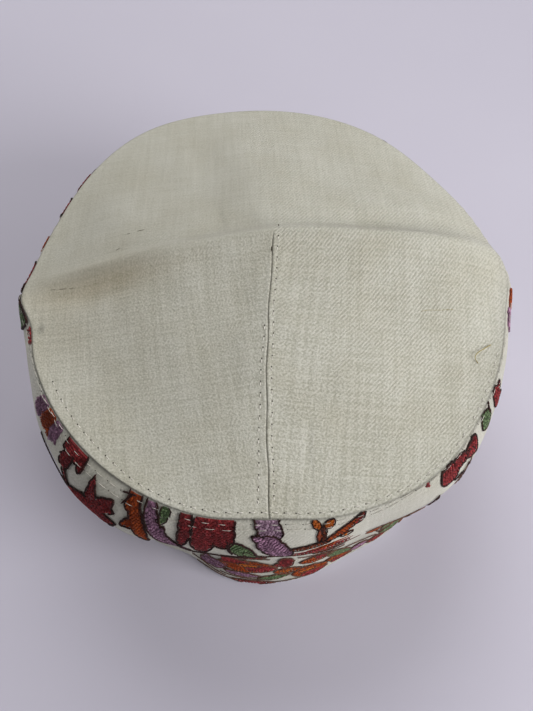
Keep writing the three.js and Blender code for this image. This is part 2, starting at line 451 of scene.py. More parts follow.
def crown_place(plan):
    """The turn and share of plan places on the crown, from the way in which each lies from the peak."""
    turn = np.linspace(0, 4, 4001)
    rim = rim_points(rim_bearing(turn)) - PEAK
    angle = np.unwrap(np.arctan2(rim[:, 1], rim[:, 0]))
    away = np.asarray(plan, float) - PEAK
    seen = angle[0] + (np.arctan2(away[..., 1], away[..., 0]) - angle[0]) % (2 * np.pi)
    reach = np.interp(seen, angle, np.linalg.norm(rim, axis=-1))
    return np.interp(seen, angle, turn), np.linalg.norm(away, axis=-1) / reach


def grid_faces(rings, count, closed=False):
    """Four-sided faces between neighbouring rings of points, each ring closed on itself.

    Where closed is true, the last ring also joins the first.
    """
    last = rings if closed else rings - 1
    ring, place = np.meshgrid(np.arange(last), np.arange(count), indexing="ij")
    below = (ring + 1) % rings
    beside = (place + 1) % count
    corners = [ring * count + place, below * count + place, below * count + beside, ring * count + beside]
    return np.stack(corners, -1).reshape(-1, 4)


def make_piece(name, points, faces, material, stands_for, slot, pattern=None, **marks):
    """A mesh from points in millimetres, which rides on the cap and stands for one of its solids.

    pattern is the cloth's own flat place of each point. A mark is a number at each point: tone, how light
    the cloth or thread is there, painted light and shade included; nap, how clear its wales are; grain, how
    grainy it is; soil, how soiled.
    """
    mesh = bpy.data.meshes.new(name)
    mesh.from_pydata((points * MM).tolist(), [], faces, shade_flat=False)
    corner = np.zeros(len(mesh.loops), np.int32)
    mesh.loops.foreach_get("vertex_index", corner)
    if pattern is not None:
        layer = mesh.uv_layers.new(name="pattern")
        layer.data.foreach_set("uv", pattern[corner].astype(np.float32).ravel())
    for mark, value in marks.items():
        layer = mesh.attributes.new(mark, "FLOAT", "POINT")
        layer.data.foreach_set("value", value.astype(np.float32))
    mesh.materials.append(material)
    piece = bpy.data.objects.new(name, mesh)
    bpy.context.scene.collection.objects.link(piece)
    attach(piece, "root")
    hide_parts(stands_for)
    return piece


def linear(hex_colour):
    """An sRGB hex value as linear red, green, blue and alpha."""
    value = np.array([int(hex_colour[i : i + 2], 16) / 255 for i in (1, 3, 5)])
    colour = np.where(value <= 0.04045, value / 12.92, ((value + 0.055) / 1.055) ** 2.4)
    return (*colour.tolist(), 1.0)


def add(tree, kind, inputs=None, **settings):
    """Adds a node with its settings, and links or sets its inputs by name or number."""
    made = tree.nodes.new("ShaderNode" + kind)
    for name, value in settings.items():
        setattr(made, name, value)
    for name, value in (inputs or {}).items():
        if isinstance(value, bpy.types.NodeSocket):
            tree.links.new(value, made.inputs[name])
        else:
            made.inputs[name].default_value = value
    return made


def blank_material(name):
    """A material with an empty node tree."""
    material = bpy.data.materials.new(name)
    material.use_nodes = True
    material.node_tree.nodes.clear()
    return material, material.node_tree


# The twill's wales, in millimetres, as wide as the photograph shows: finer ones would not show
WALE_PITCH = 1.12
# The scale at which the wave texture has one turn in each unit
WAVE_TURN = 2 * np.pi / 20
# Cloudy parts of the weave: turns for each millimetre of weft and warp, and detail
CLOUDS = {
    "patches": ((0.35, 0.35, 1), 3.0),
    "yarn": ((1.3, 1.3, 1), 2.0),
    "warp_slub": ((0.6, 0.03, 1), 3.0),
    "weft_slub": ((0.04, 0.9, 1), 3.0),
    "mottle": ((0.04, 0.04, 1), 4.0),
}
# How these parts make the weave's relief and shade: what each step gives, its operation, and what goes in
WEAVE_STEPS = [
    ("wale_wave", "SUBTRACT", "wale", 0.5),
    ("clear_wale", "MULTIPLY", "wale_wave", "nap"),
    ("ribbed", "MULTIPLY", "clear_wale", "broken"),
    ("yarn_wave", "SUBTRACT", "yarn", 0.5),
    ("slubs", "ADD", "warp_slub", "weft_slub"),
    ("slub_wave", "SUBTRACT", "slubs", 1.0),
    ("fibres", "MULTIPLY_ADD", "slub_wave", 0.45, "yarn_wave"),
    ("cloudy", "MULTIPLY", "fibres", "grain"),
    ("cloudy_relief", "MULTIPLY_ADD", "cloudy", 1.9, 0.5),
    ("relief", "ADD", "ribbed", "cloudy_relief"),
    ("cloudy_shade", "MULTIPLY_ADD", "cloudy", 1.5, 0.5),
    ("shade", "MULTIPLY_ADD", "ribbed", 0.45, "cloudy_shade"),
]
# What darkens the cloth's colour where it is faintly stained, and where it is soiled
STAIN = "#dcd6c4"
SOIL = "#e6cc9c"


def wool_twill(name, wale_slant, valley, top):
    """Off-white wool twill, woven and softly milled: slanting wales broken by the weft, slubs along warp and
    weft, faint stains and a matt bloom. The pattern is in millimetres of flat cloth."""
    material, tree = blank_material(name)
    flat = add(tree, "UVMap", uv_map="pattern").outputs[0]
    weave = {}
    for mark in ("nap", "grain", "tone", "soil"):
        weave[mark] = add(tree, "Attribute", attribute_name=mark).outputs["Fac"]
    for part, (scale, detail) in CLOUDS.items():
        spread = add(tree, "Mapping", {"Vector": flat, "Scale": scale}).outputs[0]
        cloud = {"Vector": spread, "Scale": 1.0, "Detail": detail, "Roughness": 0.6}
        weave[part] = add(tree, "TexNoise", cloud).outputs["Fac"]
    turned = add(tree, "Mapping", {"Vector": flat, "Rotation": (0, 0, -np.radians(90 + wale_slant))})
    stripes = {"Vector": turned.outputs[0], "Scale": WAVE_TURN / WALE_PITCH}
    wander = {"Distortion": 2.4, "Detail": 2.0, "Detail Scale": 0.7}
    wales = add(tree, "TexWave", {**stripes, **wander}, wave_type="BANDS", bands_direction="X")
    weave["wale"] = wales.outputs["Fac"]
    clearness = {"From Min": 0.3, "From Max": 0.7, "To Min": 0.2, "To Max": 1.5}
    weave["broken"] = add(tree, "MapRange", {"Value": weave["patches"], **clearness}).outputs[0]
    for result, operation, *parts in WEAVE_STEPS:
        inputs = {place: weave.get(part, part) for place, part in enumerate(parts)}
        weave[result] = add(tree, "Math", inputs, operation=operation).outputs[0]
    colour = add(tree, "ValToRGB", {"Fac": weave["shade"]})
    for stop, position, hue in zip(colour.color_ramp.elements, (0.2, 0.8), (valley, top)):
        stop.position = position
        stop.color = linear(hue)
    faintness = {"From Min": 0.4, "From Max": 0.8, "To Min": 0.0, "To Max": 0.4}
    worn = add(tree, "MapRange", {"Value": weave["mottle"], **faintness})
    layers = {"data_type": "RGBA", "blend_type": "MULTIPLY"}
    stained = add(tree, "Mix", {0: worn.outputs[0], 6: colour.outputs[0], 7: linear(STAIN)}, **layers)
    soiled = add(tree, "Mix", {0: weave["soil"], 6: stained.outputs[2], 7: linear(SOIL)}, **layers)
    # The tone mark multiplies the colour: random tone, and painted light and shade
    toned = add(tree, "Mix", {0: 1.0, 6: soiled.outputs[2], 7: weave["tone"]}, **layers)
    bump = add(tree, "Bump", {"Height": weave["relief"], "Strength": 0.5, "Distance": 0.0003})
    matt = {"Roughness": 0.92, "IOR": 1.5, "Specular IOR Level": 0.2}
    bloom = {"Sheen Weight": 0.1, "Sheen Roughness": 0.6}
    cloth = {"Base Color": toned.outputs[2], "Normal": bump.outputs[0]}
    shader = add(tree, "BsdfPrincipled", {**cloth, **matt, **bloom})
    add(tree, "OutputMaterial", {"Surface": shader.outputs[0]})
    return material


# Fibres of a thread: turns for each metre, half a millimetre apart, drawn as coarse as they need to show
FIBRE_TURNS = 1900.0


def twisted_thread(name, shade, light, rough):
    """Dyed two-ply thread, loosely twisted: each stitch has its own tone, and its fibres catch the light."""
    material, tree = blank_material(name)
    tone = add(tree, "Attribute", attribute_name="tone").outputs["Fac"]
    place = add(tree, "TexCoord").outputs["Object"]
    fibre = add(tree, "TexNoise", {"Vector": place, "Scale": FIBRE_TURNS, "Detail": 2.0}).outputs["Fac"]
    mixed = add(tree, "Mix", {"Factor": 0.35, "A": tone, "B": fibre}, data_type="FLOAT").outputs[0]
    colour = add(tree, "Mix", {0: mixed, 6: linear(shade), 7: linear(light)}, data_type="RGBA")
    bump = add(tree, "Bump", {"Height": fibre, "Strength": 0.4, "Distance": 0.0001})
    thread = {"Base Color": colour.outputs[2], "Normal": bump.outputs[0]}
    gloss = {"Roughness": rough, "IOR": 1.5, "Specular IOR Level": 0.3}
    sheen = {"Sheen Weight": 0.03, "Sheen Roughness": 0.4}
    shader = add(tree, "BsdfPrincipled", {**thread, **gloss, **sheen})
    add(tree, "OutputMaterial", {"Surface": shader.outputs[0]})
    return material


# The camera, at the photograph's viewing angle: pixels, and millimetres from the middle of the rim
IMAGE = (533, 711)
FOCUS = 750.0
SENSOR = 36
VIEW = {"far": 300.0, "above": 58.0, "roll": 1.5, "turn": 3.28, "rim_middle": (266.0, 294.0)}


def turn_pair(first, second, angle):
    """Two directions at right angles, turned in their plane so that the first goes towards the second."""
    turned = np.cos(angle) * first + np.sin(angle) * second
    return turned, np.cos(angle) * second - np.sin(angle) * first


def place_camera():
    """Looks at the rim's middle from in front and above, then tips until that point is at its pixel."""
    above, roll, turn = (np.radians(VIEW[part]) for part in ("above", "roll", "turn"))
    spot = VIEW["far"] * np.array([0, -np.cos(above), np.sin(above)])
    ahead = -spot / VIEW["far"]
    right = np.array([1.0, 0, 0])
    up = np.cross(right, ahead)
    off_x = (VIEW["rim_middle"][0] - IMAGE[0] / 2) / FOCUS
    off_y = (VIEW["rim_middle"][1] - IMAGE[1] / 2) / FOCUS
    ahead, up = turn_pair(ahead, up, np.arctan(off_y))
    ahead, right = turn_pair(ahead, right, -np.arctan(off_x / np.hypot(1, off_y)))
    right, up = turn_pair(right, up, roll)
    unturn = np.array([[np.cos(turn), np.sin(turn), 0], [-np.sin(turn), np.cos(turn), 0], [0, 0, 1]])
    place = np.eye(4)
    place[:3, :3] = unturn @ np.stack([right, up, -ahead], 1)
    place[:3, 3] = (unturn @ spot + np.array([-MIDDLE[0], -MIDDLE[1], BAND_HEIGHT])) * MM
    camera = bpy.data.objects.new("camera", bpy.data.cameras.new("camera"))
    camera.data.sensor_width = SENSOR
    camera.data.lens = FOCUS * SENSOR / IMAGE[1]
    camera.data.clip_start = 0.01
    bpy.context.scene.collection.objects.link(camera)
    camera.matrix_world = Matrix(place.tolist())
    bpy.context.scene.camera = camera


def rim_ditch(bearing):
    """How dark the painted shade in the ditch of the rim seam is: the same all round, plus a bell at the
    front left.
    """
    front_left = bell(bearing - RIM_DITCH["bearing"], RIM_DITCH["spread"])
    return RIM_DITCH["dark"] + RIM_DITCH["darker"] * front_left


def crown_cloth(material):
    """The crown as a closed shell: rings from the peak to the rim, round its edge, and back underneath.

    Rings are closer near the rim, and spokes near the dart seam.
    """
    even = np.arange(100) / 100
    crowded = np.arange(140) / 140
    turn = np.concatenate([even, 1 + even, 3 - (1 - crowded) ** 1.8, 3 + crowded**1.8])
    top = 1 - (1 - np.arange(1, 97) / 96) ** 1.5
    under = np.linspace(0.985, 0.04, 14)
    face, flat = crown_surface(turn[None, :], top[:, None])
    below, below_flat = crown_surface(turn[None, :], under[:, None])
    rim_way = unit(face[-1, :, :2] + MIDDLE)
    edge = np.repeat(face[-1:], len(CROWN_EDGE), 0)
    for row, (inward, drop) in enumerate(CROWN_EDGE):
        edge[row, :, :2] -= inward * rim_way
        edge[row, :, 2] -= drop
    below[..., 2] -= CROWN_THICK
    peak, peak_flat = crown_surface(np.array([0.0]), np.array([0.0]))
    rings = np.concatenate([face, edge, below])
    patterns = np.concatenate([flat, np.repeat(flat[-1:], len(CROWN_EDGE), 0), below_flat])
    shares = np.concatenate([top, np.ones(len(CROWN_EDGE)), under])
    places = np.broadcast_arrays(turn[None, :], shares[:, None])
    _, down_seam, beside_seam, to_rim = seam_way(*places)
    along, across = ridge_way(*places)
    # Painted shade in the dart seam's groove
    uneven = SEAM_SHADE["uneven"] * np.sin(down_seam / 1.4) * np.sin(down_seam / 3.3 + 1)
    line = bell(beside_seam, SEAM_SHADE["spread"]) * smooth_step(down_seam / 5)
    groove = (SEAM_SHADE["dark"] + uneven) * line
    bearing = rim_bearing(turn)
    # Painted shade where the crown's edge rolls over at the right
    from_roll = (bearing - RIM_ROLL["bearing"] + 180) % 360 - 180
    roll_shade = RIM_ROLL["dark"] * bell(from_roll, RIM_ROLL["spread"]) * bell(to_rim, RIM_ROLL["inside"])
    # Painted shade along the ditch of the rim seam
    ditch = rim_ditch(bearing) * bell(to_rim, RIM_DITCH["inside"])
    # The crown's tone is painted shade: on the rolled edge, in the seam's groove and the rim's ditch, and
    # along creases
    tone = 1 - roll_shade - groove - ditch - soft_spots(along, across, CROWN_CREASE_SHADE)
    soil = soft_spots(along, across, CROWN_SOIL)
    worn = soft_spots(along, across, CROWN_WORN)
    wale = np.interp(turn, NAP["turn"], NAP["wale"]) * (1 - 0.35 * shares[:, None] ** 3) * (1 - worn)
    grain = np.interp(turn, NAP["turn"], NAP["grain"]) * (1 + 0.25 * worn)
    at_peak = {"tone": (tone, 1), "nap": (wale, 1), "grain": (grain, 1), "soil": (soil, 0)}
    marks = {name: np.append(mark.ravel(), [last, last]) for name, (mark, last) in at_peak.items()}
    points = np.concatenate([rings.reshape(-1, 3), peak, peak - [0, 0, CROWN_THICK]])
    pattern = np.concatenate([patterns.reshape(-1, 2), peak_flat, peak_flat])
    count = len(turn)
    place = np.arange(count)
    beside = (place + 1) % count
    last = (len(rings) - 1) * count
    fan = np.stack([np.full(count, len(points) - 2), place, beside], -1)
    under_fan = np.stack([np.full(count, len(points) - 1), last + beside, last + place], -1)
    faces = grid_faces(len(rings), count).tolist() + fan.tolist() + under_fan.tolist()
    return make_piece("crown_cloth", points, faces, material, *CROWN, pattern, **marks)


def band_cloth(material):
    """The band as a closed shell: down its outer face from the seam, under the hem, and up the inner face.

    Each ring has a height, and is set back from the face by the rounding of the edges or by the thickness.
    """
    bearing = np.arange(640) * 360 / 640
    outer = np.concatenate([[89.8, 89.6, 89.2, 88.6], np.linspace(87.8, 1.2, 58), [0.5, 0.12, 0.0]])
    outer_back = np.concatenate([[0.8, 0.25, 0.06, 0.0], np.zeros(58), [0.15, 0.5, 0.9]])
    inner = np.concatenate([[0.0, 0.4], np.linspace(3, 86, 18), [88.2]])
    inner_back = np.concatenate([[BAND_THICK - 0.6], np.full(19, BAND_THICK), [BAND_THICK - 0.2]])
    height = np.concatenate([outer, inner])
    set_back = np.concatenate([outer_back, inner_back])
    points = band_surface(bearing[None, :], height[:, None], set_back[:, None]).reshape(-1, 3)
    pattern = np.stack(np.broadcast_arrays(bearing[None, :] * AROUND, height[:, None]), -1).reshape(-1, 2)
    faces = grid_faces(len(height), len(bearing), closed=True).tolist()
    # Painted light and shade in patches round the band
    patches = bell(bearing[:, None] - BAND_LIGHT_AND_SHADE["bearing"], BAND_LIGHT_AND_SHADE["spread"])
    shade = (BAND_LIGHT_AND_SHADE["amount"] * patches).sum(1)
    # Painted shade at the band's top, in the ditch of the rim seam
    ditch = smooth_step((height[:, None] - 89) / 0.5) * rim_ditch(bearing)
    marks = {
        "tone": (1 + shade - ditch).ravel(),
        "nap": np.full(len(points), BAND_NAP["wale"]),
        "grain": np.full(len(points), BAND_NAP["grain"]),
        "soil": np.zeros(len(points)),
    }
    return make_piece("band_cloth", points, faces, material, *BAND, pattern, **marks)


def strands(start, end, normal, bow, arch, lift, thick):
    """Short lengths of thread from start to end, each three-sided and pointed: it bows to one side and
    arches off the cloth by half a sine of its length. Gives points, and three-sided faces."""
    way = end - start
    side = unit(np.cross(normal, way))
    share = np.array([0, 0.28, 0.72, 1])[None, :, None]
    hump = np.sin(np.pi * share)
    bow, arch, lift = (np.broadcast_to(size, len(start))[:, None, None] for size in (bow, arch, lift))
    middle = start[:, None] + way[:, None] * share + side[:, None] * bow * hump
    middle = middle + normal[:, None] * (lift * np.where(hump > 0.1, 1, 0.55) + arch * hump)
    angle = np.radians([90, 210, 330])[None, None, :, None]
    ring = side[:, None, None] * np.cos(angle) + normal[:, None, None] * np.sin(angle)
    body = middle[:, 1:3, None] + thick * ring
    points = np.concatenate([middle[:, :1], body.reshape(len(start), 6, 3), middle[:, 3:]], 1)
    place = np.arange(3)
    beside = (place + 1) % 3
    start_fan = np.stack([np.zeros(3, int), 1 + beside, 1 + place], -1)
    end_fan = np.stack([np.full(3, 7), 4 + place, 4 + beside], -1)
    near_sides = np.stack([1 + place, 1 + beside, 4 + beside], -1)
    far_sides = np.stack([1 + place, 4 + beside, 4 + place], -1)
    faces = np.concatenate([start_fan, end_fan, near_sides, far_sides])
    strand = np.arange(len(start))[:, None, None]
    return points.reshape(-1, 3), (strand * STRAND_POINTS + faces).reshape(-1, 3)


# The embroidery's chart, in flat millimetres: for each degree round the band, between rows, and a stitch
AROUND = 1.71
ROW_PITCH = 0.66
STITCH = 1.35
EDGE_STITCH = 1.5
# The heights between which stitches are worked
WORKED = (0.9, 89.5)
# What shows from the front has stitches of the real size, and the rest is this much coarser
FRONT = {"bearings": (244, 304), "upper_bearings": (196, 346), "upper_height": 62, "coarser": 1.4}
# How far outside a blade its edge is worked, and the height below which edges are umber
EDGE_OUT = 0.2
UMBER_BELOW = 45
# How much finer the edges of fine motifs are
FINE_EDGE = 0.6
# How unevenly stitches are placed, and the part of their length by which they lap, for lines and fills
LINE_WORK = {"uneven": 0.1, "lap": 0.4}
FILL_WORK = {"uneven": 0.06, "lap": 0.05}
# How high stitches stand off the cloth, and the low domed pads under them
STITCH_LIFT = 0.36
PAD_ACROSS = np.linspace(-1, 1, 7)
# The pads' tone is dark: painted shade between the stitches
PAD = {"dome": 0.4, "sunk": 0.16, "tone": 0.12}
# How a blade's width goes along it: where it is fullest, how blunt, how round, and the part it takes
FORMS = {
    "leaf": (0.85, 2.0, 1.0, 0, 1),
    "petal": (1.0, 3.2, 0.5, 0, 1),
    "stem": (1.0, 12.0, 0.5, 0, 1),
    "drop": (1.6, 2.4, 0.7, 0, 1),
    "thorn": (1.0, 2.0, 1.0, 0.5, 1),
    "block": (1.0, 6.0, 0.5, 0.05, 0.95),
    "line": (1.0, 2.0, 1.0, 0, 1),
}
# motif, form, thread, bearing and height of its base, heading, length, width, bend
FRONT_BLADES = [
    ("left_leaf", "leaf", "green", 176.5, 77, 35, 20, 12, 0),
    ("left_stem", "stem", "crimson", 187, 88.6, 2, 9, 1.7, 0),
    ("left_line", "line", "outline", 210.5, 77.6, -18, 21, 0, 36),
    ("mauve_flower", "petal", "lilac", 206, 81.4, 66, 10, 6.8, 0),
    ("mauve_flower", "petal", "lilac", 213.2, 81, 70, 10, 6, 0),
    ("mauve_flower", "thorn", "lilac", 214.4, 85, -112, 6, 4, 0),
    ("mauve_flower", "thorn", "lilac", 214.6, 86, -50, 4.6, 3.4, 0),
    ("mauve_flower", "petal", "rust", 209.8, 81.4, 68, 9.8, 6.8, 0),
    ("mauve_flower", "thorn", "rust", 212, 84, -60, 4, 3.4, 0),
    ("red_bud", "block", "crimson", 218.4, 88.2, -1, 11.8, 4, 0),
    ("red_bud", "thorn", "crimson", 224.2, 88.5, -74, 5, 3.8, 0),
    ("red_bud", "petal", "crimson", 221.4, 87.4, -112, 8.2, 5.4, 0),
    ("red_bud", "thorn", "crimson", 220.4, 83, 168, 3.6, 3.4, 0),
    ("red_bud", "thorn", "crimson", 220.2, 81.4, -58, 9.6, 2.2, 0),
    ("red_leaf", "leaf", "crimson", 221.8, 71.5, 8, 25, 11, 12),
    ("red_leaf", "thorn", "crimson", 229.6, 77.5, 98, 10, 4.8, 0),
    ("red_leaf", "stem", "crimson", 229.5, 78, 97, 8.4, 1.8, 0),
    ("red_leaf", "leaf", "crimson", 230.2, 74.5, 52, 13, 6, 0),
    ("red_leaf", "thorn", "crimson", 232.6, 79.5, 6, 5.2, 4.4, 0),
    ("red_leaf", "thorn", "crimson", 231.6, 76.5, -64, 12, 5, 0),
    ("orange_leaf", "block", "rust", 238.8, 92, -87, 7.6, 5, 0),
    ("orange_leaf", "leaf", "rust", 239, 89.6, -70, 21, 5, 6),
    ("orange_leaf", "thorn", "rust", 239.8, 80, -146, 5.4, 4, 0),
    ("orange_tick", "line", "outline", 238.8, 89, -172, 4.6, 0, 0),
    ("orange_tick", "line", "outline", 238, 88.6, -128, 3.6, 0, 0),
    ("mauve_leaf", "petal", "lilac", 242.3, 92, -60, 32, 5.2, 36),
    ("mauve_leaf", "thorn", "lilac", 245.3, 79, 60, 4.2, 3, 0),
    ("mauve_tail", "thorn", "lilac", 247, 74.8, -40, 9, 2.2, 10),
    ("green_sprig", "petal", "green", 244.9, 87.8, 4, 4, 3.4, 0),
    ("green_sprig", "thorn", "green", 246, 87.4, -70, 3, 2.4, 0),
    ("green_sprig", "leaf", "green", 244.5, 84.6, 8, 3.6, 1.9, 0),
    ("tulip", "block", "crimson", 250.4, 92, -86, 12, 4.2, 0),
    ("tulip", "thorn", "crimson", 250.7, 82, -99, 9.6, 4.2, 0),
    ("tulip", "petal", "crimson", 254.8, 94, -92, 22.6, 8, 0),
    ("tulip", "petal", "crimson", 258.4, 94, -88, 17.4, 8.4, 0),
    ("green_leaf", "leaf", "green", 260.2, 80.2, -50, 15, 6, 0),
    ("green_stem", "thorn", "green", 263.2, 74, -48, 10, 2, 12),
    ("green_side", "line", "outline", 259.8, 81, -78, 9, 0, 40),
    # The next blade's thread is the lilac made lighter: painted light on the mauve block's upper part
    ("mauve_block", "block", "orchid", 267.3, 92.4, -73, 11.4, 8.4, 0),
    ("mauve_block", "petal", "lilac", 266.8, 83.4, -56, 17.2, 9, 0),
    ("mauve_block", "thorn", "lilac", 267.4, 80.8, 150, 5.4, 4.2, 0),
    ("fork", "leaf", "amber", 279.3, 86, 128, 4.8, 2.8, 0),
    ("fork", "leaf", "amber", 279.9, 86, 36, 5.6, 2.8, 0),
    ("fork", "block", "brown", 279.7, 86.8, -92, 9, 2.5, 0),
    ("fork", "leaf", "rust", 279.1, 86, -92, 8.4, 1.8, 0),
    ("branch", "stem", "brown", 272.8, 75, 12, 15, 2, 8),
    ("branch", "leaf", "rust", 279.6, 77.4, 38, 21, 3.1, 16),
    ("branch_tip", "leaf", "crimson", 286.6, 84.4, 48, 6.6, 2.4, 0),
    ("tuft", "leaf", "amber", 283.4, 78.4, 15, 5.6, 1.8, 0),
    ("fold_line", "line", "outline", 249.5, 68, -1, 34, 0, 0),
    ("fold_second", "line", "umber", 254, 66.4, 0, 30, 0, 0),
    ("fold_right", "line", "umber", 269, 68.2, 8, 28, 0, 10),
    ("fold_red", "leaf", "crimson", 272.6, 70, 9, 25, 2, 8),
    ("fold_rust", "leaf", "rust", 276.4, 72, 12, 17, 1.7, 6),
    ("fold_low", "leaf", "brown", 274, 66.6, 8, 26, 1.8, 8),
    ("right_line", "line", "umber", 290, 71.2, 0, 24, 0, 0),
    ("dot", "petal", "crimson", 303.6, 87.5, 45, 2.2, 1.9, 0),
    ("low_bits", "line", "outline", 304.8, 71.4, 14, 5, 0, 0),
    ("low_bits", "line", "outline", 306.4, 73, 60, 3, 0, 0),
    ("red_long", "petal", "crimson", 307.4, 84.6, 4, 9.6, 8.2, 0),
    ("red_long", "block", "crimson", 311.6, 86.8, -8, 7, 4.6, 0),
    ("red_long", "thorn", "crimson", 320.2, 84.4, 172, 9.4, 8, 0),
    ("red_net", "line", "outline", 311.4, 79, -22, 7, 0, -20),
    ("red_net", "line", "outline", 313.6, 86.4, -50, 4.6, 0, 0),
    ("red_net", "line", "outline", 315.4, 84.6, 30, 4, 0, 0),
    ("red_net", "line", "outline", 318.4, 86, -70, 4, 0, 0),
    ("red_net", "line", "umber", 312, 74, 32, 9, 0, 20),
    ("red_net", "line", "outline", 313.4, 72, 52, 9, 0, 0),
    ("red_net", "line", "umber", 317, 77, 70, 6, 0, 0),
    ("right_green", "leaf", "green", 323.2, 84.4, 20, 9, 7.4, 0),
    ("right_green", "line", "outline", 327.4, 86.6, 60, 4, 0, 0),
    ("right_bud", "petal", "crimson", 330.4, 85.2, -8, 6.6, 8.6, 0),
    ("right_bud", "thorn", "crimson", 333.4, 86, 20, 4.4, 2.6, 0),
    ("right_bud", "thorn", "crimson", 333.4, 83.4, -30, 4.4, 2.6, 0),
    ("far_right", "petal", "lilac", 350, 84, 10, 11, 6.5, 0),
    ("far_right", "petal", "rust", 356, 85, 0, 10, 6.5, 0),
    ("rear_one", "petal", "crimson", 139, 87, 0, 11, 7, 0),
    ("rear_two", "petal", "crimson", 148, 87, 0, 10, 7, 0),
    ("rear_three", "leaf", "rust", 160, 87, 0, 9, 6, 0),
    ("rear_four", "petal", "crimson", 168.5, 87, 0, 14, 7, 0),
    ("low_mauve", "leaf", "lilac", 250, 9, 42, 19, 9, 0),
    ("low_mauve", "thorn", "lilac", 252.6, 15, 100, 8, 5, 0),
    ("low_edge", "line", "umber", 247, 8, -10, 18, 0, 0),
    ("low_edge", "line", "umber", 249, 20, -16, 18, 0, 30),
    ("low_edge", "line", "umber", 248.5, 2.4, 0, 20, 0, 0),
    ("low_orange", "leaf", "rust", 255.6, 22, 1, 26, 14, 0),
    ("low_orange", "thorn", "crimson", 256.4, 26.6, 4, 13, 7, 0),
    ("low_orange", "leaf", "crimson", 262.6, 20.4, -2, 15, 8, 0),
    ("low_orange", "leaf", "amber", 260.4, 24, -4, 11, 3, 0),
    ("low_top", "leaf", "crimson", 257, 35, -2, 19, 5, 0),
    ("low_top", "line", "umber", 255, 32, 0, 24, 0, 0),
    ("low_oval", "petal", "crimson", 273.3, 20.5, 90, 13, 6.6, 0),
    ("low_oval", "thorn", "crimson", 272.6, 25, 200, 5, 5, 0),
    ("low_petal", "leaf", "rust", 270.2, 15, 8, 13, 6, 0),
    ("low_petal", "leaf", "amber", 271.4, 15.6, 4, 7, 2.4, 0),
    ("low_right", "leaf", "rust", 277, 23, 6, 16, 7, 0),
    ("low_right", "thorn", "crimson", 281.2, 25.4, 4, 9, 5, 0),
    ("low_high", "line", "umber", 276.4, 32, 2, 22, 0, 40),
    ("low_green", "leaf", "green", 284.2, 26, -38, 17, 8, 0),
    ("low_under", "leaf", "rust", 284.4, 14, -8, 14, 6, 0),
    ("low_under", "thorn", "crimson", 286.4, 10, -6, 11, 5, 0),
    ("low_far", "leaf", "lilac", 291.8, 14, 4, 10, 9, 0),
    ("low_far_top", "line", "umber", 289.6, 26, -22, 19, 0, -50),
    ("low_pink", "leaf", "crimson", 297.4, 10, 5, 11, 7, 0),
    ("low_brown", "leaf", "rust", 275, 9, 10, 18, 12, 0),
    ("low_brown", "leaf", "crimson", 277.2, 5.6, 10, 14, 6, 0),
    ("low_brown", "leaf", "amber", 276.8, 11, 10, 9, 3, 0),
    ("low_long", "leaf", "green", 266, 7.6, 14, 15, 4.6, 0),
    ("low_streak", "leaf", "lilac", 257, 12.4, -6, 17, 5, 0),
    ("low_streak", "line", "umber", 256, 8, -4, 20, 0, 0),
    ("low_hem", "leaf", "crimson", 259, 2.6, 0, 20, 3.6, 0),
    ("low_hem_right", "line", "umber", 270.6, 3, 4, 14, 0, 0),
    ("mid_one", "leaf", "green", 247, 34, 35, 16, 7, 20),
    ("mid_two", "flower", "crimson", 261, 51, 90, 24, 0, 0),
    ("mid_three", "leaf", "rust", 269, 42, 50, 17, 6.5, 20),
    ("mid_four", "flower", "lilac", 281, 50, 90, 22, 0, 0),
    ("mid_five", "leaf", "green", 287, 38, 50, 15, 6.5, -20),
    ("mid_six", "flower", "rust", 299.5, 45, 90, 23, 0, 0),
    ("mid_seven", "leaf", "green", 303.6, 23, 110, 13, 6.5, -20),
]
# Sprays on the sides and back: form, thread, bearing from the middle, height, heading, length, width, bend
LOW_SPRAYS = [
    [
        ("stem", "rust", -1, 3, 84, 28, 2.4, 22),
        ("leaf", "green", -1.2, 12, 150, 18, 9, -30),
        ("leaf", "lilac", 0.6, 6, 26, 18, 9, 30),
        ("flower", "crimson", 0, 40, 90, 28, 0, 0),
        ("leaf", "green", -5, 54, 132, 13, 7, -20),
        ("leaf", "rust", 5.2, 53, 46, 14, 7, 20),
        ("petal", "crimson", 6, 22, 62, 12, 8, 0),
        ("line", "umber", 1.5, 12, 40, 20, 0, 80),
        ("line", "umber", -9, 24, 100, 18, 0, -140),
    ],
    [
        ("stem", "brown", 1, 3, 96, 28, 2.4, -22),
        ("leaf", "rust", 1.4, 8, 30, 18, 9, 30),
        ("leaf", "green", -0.4, 5, 154, 18, 9, -30),
        ("flower", "lilac", 0, 39, 90, 26, 0, 0),
        ("petal", "crimson", -6, 21, 118, 12, 8, 0),
        ("leaf", "crimson", 4.6, 53, 46, 14, 7, 20),
        ("leaf", "green", -5, 53, 132, 13, 7, -20),
        ("line", "umber", -1.5, 13, 140, 20, 0, -80),
        ("line", "umber", 9, 26, 80, 18, 0, 140),
    ],
]
# The bearings of the sprays, which take turns
LOW_PLACES = [10, 30, 50, 70, 90, 110, 130, 150, 170, 190, 210, 230, 311, 331, 350]
# The front's upper flowers, between these bearings, come again behind: so many degrees round, and lower
UPPER = {"height": 60, "bearings": (200, 293), "drop": 7}
UPPER_AGAIN = (-199, -117)
# Dyes of the threads, in shade and in light
THREADS = {
    "crimson": ("#3f080c", "#c9484c"),
    "rust": ("#5d1a03", "#d2601f"),
    "brown": ("#34110a", "#96451f"),
    "lilac": ("#432438", "#d6a4c6"),
    # The next thread is the lilac made lighter: painted light for the upper mauve block
    "orchid": ("#54344a", "#eac6e0"),
    "green": ("#2a3a1e", "#86a072"),
    "amber": ("#a3430c", "#e08a2c"),
    "outline": ("#1b0909", "#40201b"),
    "umber": ("#3a231c", "#84604f"),
}
# Threads that draw lines and edges
LINE_THREADS = ("outline", "umber")
